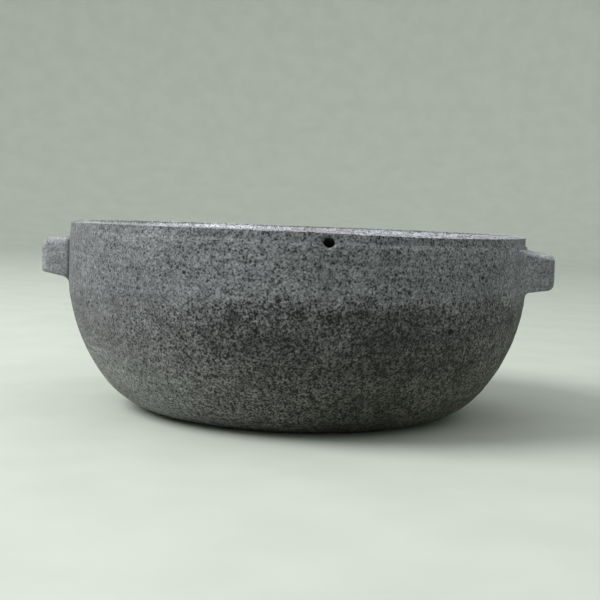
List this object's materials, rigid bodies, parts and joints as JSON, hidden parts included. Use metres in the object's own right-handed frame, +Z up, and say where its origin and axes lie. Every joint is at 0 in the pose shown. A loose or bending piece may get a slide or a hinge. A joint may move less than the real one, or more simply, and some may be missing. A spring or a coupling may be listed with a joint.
{
  "type": "stone bowl with lug handles",
  "caption": "Wide round bowl carved from solid stone, with a flat rim bevelled on both sides, a flat base, short lug handles on opposite sides and a small steam vent under the rim.",
  "frame": {"origin": "centre of the flat base, on the surface that the bowl stands on", "axes": "+Z up through the bowl's axis, +X through the right lug, -Y the side that the steam vent is on"},
  "size_m": [0.2254, 0.201, 0.0805],
  "materials": {
    "stone": "fine-turned matt dark grey stone with pale and dark grain and small open pits"
  },
  "bodies": {
    "root": {"bowl_body": "stone", "left_lug": "stone", "right_lug": "stone"}
  },
  "joints": []
}
